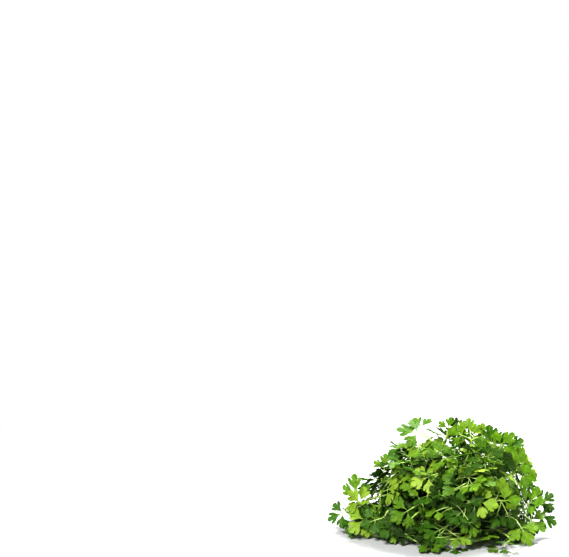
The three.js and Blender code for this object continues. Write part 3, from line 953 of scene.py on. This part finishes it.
# Colours from the darkest tone to the palest, of the surface and of the light that comes through
LEAF_TONES = (0.0, 0.35, 0.7, 1.0)  # where the leaves' four colours lie
TOP_GREENS = [(0.005, 0.034, 0.001), (0.045, 0.165, 0.003), (0.24, 0.4, 0.02), (0.44, 0.54, 0.09)]
TOP_THROUGH = [(0.006, 0.05, 0.0005), (0.065, 0.25, 0.002), (0.32, 0.54, 0.01), (0.48, 0.66, 0.03)]
UNDERSIDE_GREENS = [(0.02, 0.07, 0.006), (0.1, 0.22, 0.026), (0.28, 0.42, 0.07), (0.42, 0.53, 0.14)]
UNDERSIDE_THROUGH = [(0.006, 0.05, 0.0005), (0.065, 0.25, 0.003), (0.32, 0.54, 0.014), (0.48, 0.66, 0.04)]
STEM_GREENS = [(0.15, 0.31, 0.02), (0.32, 0.5, 0.08), (0.55, 0.66, 0.22)]
CUT_END_GREENS = [(0.5, 0.6, 0.3), (0.7, 0.76, 0.5)]
TOP_VEINS = (0.45, 0.6, 0.14)
UNDERSIDE_VEINS = (0.5, 0.62, 0.22)


def leaf_materials():
    """The materials in the order of TOP, UNDERSIDE, STEM and CUT_END."""
    return [
        leaf_material("leaf_top", TOP_GREENS, TOP_VEINS, TOP_THROUGH, 0.44, 1.0),
        leaf_material("leaf_underside", UNDERSIDE_GREENS, UNDERSIDE_VEINS, UNDERSIDE_THROUGH, 0.56, -1.0),
        stem_material("stem", STEM_GREENS, 0.4),
        stem_material("cut_end", CUT_END_GREENS, 0.6),
    ]


# A layer of extra sprigs: how many, tries for each, shares of the way out to the mound's surface, leaflet
# lengths and leaf sides. Leaves are kept off the seen ones, and in an unseen layer may cross each other.
Fill = namedtuple(
    "Fill", "name count tries depths lengths sides is_seen parts template tones is_rim", defaults=(False,)
)
FILLS = [
    Fill("outer_leaves", 150, 30, (0.84, 1.03), (17, 22), BOTH, True, 6, MEDIUM, (0.02, 0.72)),
    Fill("single_leaves", 230, 30, (0.8, 1.05), (15, 22), (), True, 3, MEDIUM, (0, 0.7)),
    Fill("rim_leaves", 140, 30, (0.84, 1.0), (14, 20), (), True, 2, MEDIUM, (0, 0.5), True),
    # The middle and deep layers are given the darkest tones: painted shade inside the mound, where little
    # light reaches.
    Fill("middle_leaves", 170, 10, (0.5, 0.84), (15, 21), BOTH, False, 4, COARSE, (0, 0.12)),
    Fill("deep_leaves", 130, 6, (0.25, 0.68), (18, 23), BOTH, False, 2, COARSE, (0, 0.06)),
]
FILL_TILT = 0.9
FILL_LIFT = 0.35  # of the blades' facing, towards straight up
RIM_HEIGHTS = (4, 16)
THIN_BELOW = 52
THINNING = 0.6  # share of the tries in the seen layers, but the rim's, that are given up below it
LEFT_SHRINK = 0.14  # of the layers, so that the CAD's sprigs at the sides and on top stand out of them
RIGHT_SHRINK = 0.08
TOP_SHRINK = 0.08

GRID_CELL = 2.0
GRID_REACH = 160
OPENING_BACK = -34  # how far back the openings in the mound's front go
FILL_OVERHANG = np.array([3.0, 7.0, 1.0])  # of the extra sprigs past the CAD's box

# Single leaves that join the side sprays to the mound: head, direction, facing, stalk's end, leaflet length
SIDE_LEAVES = [
    ((97, -20, 27), (0.6, -0.3, -0.3), (0.1, -0.8, 0.6), (60, -8, 20), 19),
    ((100, -12, 36), (0.45, 0.1, 0.9), (-0.4, -0.8, 0.3), (62, -6, 24), 16),
    ((88, -34, 24), (0.35, -0.5, -0.45), (0.2, -0.8, 0.5), (56, -14, 22), 20),
    ((92, -26, 42), (0.7, -0.3, 0.2), (0.2, -0.8, 0.6), (58, -8, 28), 18),
    ((-84, -30, 36), (-0.5, -0.3, 0.5), (-0.2, -0.9, 0.3), (-50, -12, 20), 20),
    ((-78, -34, 26), (-0.6, -0.5, -0.3), (-0.1, -0.8, 0.6), (-48, -14, 18), 20),
]


class Grid:
    """The mound's space in small cells, with those past its box, in its openings or with a blade marked."""

    def __init__(self, points, low, high):
        size = int(2 * GRID_REACH / GRID_CELL)
        self.cells = np.ones((size, size, size), bool)
        a = self.place_of(low - FILL_OVERHANG)
        b = self.place_of(high + FILL_OVERHANG)
        self.cells[a[0] : b[0], a[1] : b[1], a[2] : b[2]] = False
        middles = (np.arange(size) + 0.5) * GRID_CELL - GRID_REACH
        for left, up, radius in OPENINGS:
            across = (middles[:, None] - left) ** 2 + (middles[None, :] - up) ** 2 < radius**2
            self.cells[:, middles < OPENING_BACK, :] |= across[:, None, :]
        for step in np.vstack([np.zeros((1, 3)), np.eye(3), -np.eye(3)]):
            self.cells[self.places(points + step * GRID_CELL * 0.6)] = True

    def place_of(self, point):
        return ((point + GRID_REACH) / GRID_CELL).astype(int)

    def places(self, points):
        return tuple(self.place_of(points).T)

    def add(self, points, rooms):
        self.cells[self.places(points[rooms == LEAF_ROOM])] = True

    def is_clear(self, points, rooms):
        return not self.cells[self.places(points[rooms == LEAF_ROOM])].any()


def fill_site(fill, random):
    """A place for an extra sprig, which faces outward and up with a random tilt."""
    azimuth = random.between(0, 2 * math.pi)
    right = math.cos(azimuth)
    sine = random.between(0.01, 0.98)
    shrunk = 1 - (RIGHT_SHRINK if right > 0 else LEFT_SHRINK) * abs(right) * (1 - sine) - TOP_SHRINK * sine
    depth = random.between(*fill.depths) * shrunk
    head, outward = mound_surface(azimuth, sine, depth)
    if fill.is_rim:
        head, outward = mound_surface(azimuth, 0.02, depth)
        head = (head[0], head[1], random.between(*RIM_HEIGHTS))
    heading = random.between(-math.pi, math.pi)
    points = along_surface(outward, heading, random.between(0, 0.9))
    tilt = unit([random.between(-1, 1) for _ in range(3)])
    faces = away(away(outward, tilt, FILL_TILT), (0, 0, 1), FILL_LIFT)
    stalk_end = inner_end(head, points, random.between(0.4, 0.7))
    reach = random.between(6, 13)
    return Site(head, points, faces, stalk_end, reach, random.between(*fill.lengths), fill.sides)


def grow_side_leaves(grid, seen):
    """The leaves that join the side sprays to the mound."""
    grown_leaves = []
    is_clear = seen.test_for(FINE, SIDE_LIVELINESS)
    for i, (head, points, faces, stalk_end, leaflet) in enumerate(SIDE_LEAVES):
        random = Stream(SEED * 3500 + i)
        for k in range(ATTEMPTS):
            moved = tuple(x + random.between(-PLACED_STRAY, PLACED_STRAY) * k / ATTEMPTS for x in head)
            site = Site(moved, points, faces, stalk_end, 8, leaflet, ())
            grown = grow_sprig(site, grid, random, k / ATTEMPTS, is_clear)
            if not grown:
                continue
            leaves, whole = grown
            grown_leaves.append(leaves)
            seen.add(leaves)
            grid.add(whole.points, whole.rooms)
            break
    return grown_leaves


def grow_layer(fill, seed, grid, seen):
    sprigs = []
    is_clear = seen.test_for(fill.template, FILL_LIVELINESS)
    fewest = min(2, 1 + len(fill.sides))
    for i in range(fill.count):
        random = Stream(seed + i)
        for k in range(fill.tries):
            site = fill_site(fill, random)
            thins_out = fill.is_seen and not fill.is_rim and site.head[2] < THIN_BELOW
            if thins_out and random.between(0, 1) < THINNING:
                continue
            grown = grow_sprig(site, grid, random, k / fill.tries, is_clear)
            if not grown or len(grown[0]) < fewest:
                continue
            leaves, whole = grown
            sprigs.append(leaves)
            if fill.is_seen:
                seen.add(leaves)
                grid.add(whole.points, whole.rooms)
            break
    return sprigs


def fill_mound(sprigs, taken, low, high):
    """The leaves that join the side sprays to the mound, and the sprigs of each layer."""
    grid = Grid(taken.points, low, high)
    openings = Grid(np.zeros((0, 3)), low, high)
    seen = Seen()
    for _, leaves in sprigs:
        for leaf in leaves:
            seen.is_clear(leaf, FINE, SPRIG_LIVELINESS)
        seen.add(leaves)
    side_leaves = grow_side_leaves(grid, seen)
    layers = []
    for order, fill in enumerate(FILLS):
        seed = SEED * (4000 + 1000 * order)
        layers.append(grow_layer(fill, seed, grid if fill.is_seen else openings, seen))
    return side_leaves, layers


def layout_box(sprigs):
    """The layout's lowest and highest corners, which are the CAD's before it was moved over its origin."""
    low = np.full(3, 1e9)
    high = np.full(3, -1e9)
    x = np.array([SIDE_LOBE[0], CUT[0], 1, CUT[0], SIDE_LOBE[0]])
    y = np.array([-SIDE_LOBE[1], -CUT[1], 0, CUT[1], SIDE_LOBE[1]])
    for _, leaves in sprigs:
        for leaf in leaves:
            half = np.array(leaf.axes[2]) * BLADE_THICKNESS / 2
            for k in range(3):
                sheet = leaflet_points(leaf, k, x, y)
                for corners in (sheet + half, sheet - half):
                    low = np.minimum(low, corners.min(0))
                    high = np.maximum(high, corners.max(0))
    cad_size = np.array(cad_bounds[1] - cad_bounds[0]) / MM
    if np.abs((high - low - cad_size)[:2]).max() > 0.5:
        raise RuntimeError("the layout doesn't match the CAD's size")
    return low, high


def build_bunch():
    sprigs, taken = place_cad_sprigs()
    low, high = layout_box(sprigs)
    shift = -(low + high) / 2 * (1, 1, 0)
    side_leaves, layers = fill_mound(sprigs, taken, low, high)
    materials = leaf_materials()
    rng = np.random.RandomState(SEED)
    for name, leaves in sprigs:
        build = Build()
        # Painted light: the crown's sprigs are given paler tones.
        tones = CROWN_LIT_TONES if name.startswith("crown") else SPRIG_TONES
        add_sprig(build, leaves, FINE, rng, FINE_STEM_SIDES, tones)
        piece = finish_piece(f"leafy_{name}", build, shift, materials)
        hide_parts(f"sprig_{name}")
    build = Build()
    for leaves in side_leaves:
        add_sprig(build, leaves, FINE, rng, FINE_STEM_SIDES, SPRIG_TONES, SIDE_THINNESS, SIDE_LIVELINESS)
    finish_piece("side_leaves", build, shift, materials)
    for fill, grown in zip(FILLS, layers):
        looks = (fill.template, rng, FILL_STEM_SIDES, fill.tones, FILL_THINNESS, FILL_LIVELINESS)
        for part in range(fill.parts):
            build = Build()
            for leaves in grown[part :: fill.parts]:
                add_sprig(build, leaves, *looks)
            finish_piece(f"{fill.name}_{part + 1}", build, shift, materials)


# The photograph's frame and view
IMAGE_WIDTH = 569
IMAGE_HEIGHT = 557
PIXEL = 1.15 * MM
DISTANCE = 2.2
ELEVATION = 17 * DEGREE
MIDDLE_COLUMN = 442.5
MIDDLE_ROW = 483
AIM_HEIGHT = 0.0565


def add_camera():
    camera = bpy.data.cameras.new("camera")
    camera.sensor_width = 36
    camera.lens = camera.sensor_width / 2 / (IMAGE_WIDTH / 2 * PIXEL / DISTANCE)
    seat = bpy.data.objects.new("camera", camera)
    bpy.context.scene.collection.objects.link(seat)
    bpy.context.scene.camera = seat
    back = Vector((0, -math.cos(ELEVATION), math.sin(ELEVATION)))
    seat.location = Vector((0, 0, AIM_HEIGHT)) + back * DISTANCE
    # the view is turned so that the aim point, level with the camera's bearing, shows at that column and row
    focal = DISTANCE / PIXEL
    right = MIDDLE_COLUMN - IMAGE_WIDTH / 2
    down = MIDDLE_ROW - IMAGE_HEIGHT / 2
    whole = math.sqrt(right**2 + down**2 + focal**2)
    yaw = math.asin(right / (whole * math.cos(ELEVATION)))
    rise = math.atan2(down, focal) - math.asin(whole * math.sin(ELEVATION) / math.hypot(focal, down))
    look = Vector((-math.sin(yaw) * math.cos(rise), math.cos(yaw) * math.cos(rise), math.sin(rise)))
    seat.rotation_euler = look.to_track_quat("-Z", "Y").to_euler()


# Lights: name, place, size and power
LIGHTS = [("key", (0.5, 0.55, 1.45), 0.6, 82), ("front_fill", (-0.45, -1.25, 1.15), 0.4, 62)]
LIGHTS_AIM = (0, 0, 0.05)
VIEW_GAMMA = 0.85
SKY_HEIGHTS = (0.5, 0.52, 1.0)  # from straight down, 0, to straight up, 1
SKY_COLOURS = [(1, 1, 1), (0.08, 0.08, 0.083), (0.36, 0.36, 0.37)]
FLOOR_HALF_WIDTH = 0.6  # within which the lights keep it evenly pale


def add_floor():
    half = FLOOR_HALF_WIDTH
    mesh = bpy.data.meshes.new("floor")
    corners = [(-half, -half, 0), (half, -half, 0), (half, half, 0), (-half, half, 0)]
    mesh.from_pydata(corners, [], [(0, 1, 2, 3)])
    n = Nodes(bpy.data.materials.new("floor"))
    tint = n.mix(n.noise(n.place(), 30.0), colour(0.44, 0.44, 0.44), colour(0.48, 0.48, 0.48))
    mesh.materials.append(n.finish(n.shader(tint, 0.6).outputs[0]))
    floor = bpy.data.objects.new("floor", mesh)
    bpy.context.scene.collection.objects.link(floor)


def add_lights():
    for name, place, size, power in LIGHTS:
        lamp = bpy.data.lights.new(name, "AREA")
        lamp.size = size
        lamp.energy = power
        seat = bpy.data.objects.new(name, lamp)
        seat.location = place
        seat.rotation_euler = (Vector(LIGHTS_AIM) - seat.location).to_track_quat("-Z", "Y").to_euler()
        bpy.context.scene.collection.objects.link(seat)
    bpy.context.scene.view_settings.view_transform = "Standard"
    bpy.context.scene.view_settings.gamma = VIEW_GAMMA


def add_sky():
    """Soft light from above, and a pale backdrop below the horizon, past the floor's far edge."""
    n = Nodes(bpy.data.worlds.new("studio"))
    split = n.make("ShaderNodeSeparateXYZ")
    n.link(n.make("ShaderNodeTexCoord").outputs["Generated"], split.inputs[0])
    height = n.math("MULTIPLY_ADD", split.outputs["Z"], 0.5, 0.5)
    background = n.make("ShaderNodeBackground")
    n.link(n.ramp(height, SKY_HEIGHTS, SKY_COLOURS), background.inputs["Color"])
    bpy.context.scene.world = n.finish(background.outputs[0], "ShaderNodeOutputWorld")


def remove_default_objects():
    kept = set(frame["nodes"].values()) | set(frame["bodies"].values())
    for o in list(bpy.data.objects):
        if o not in kept:
            bpy.data.objects.remove(o)


remove_default_objects()
cad_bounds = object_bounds()
build_bunch()
add_camera()
add_floor()
add_sky()
add_lights()
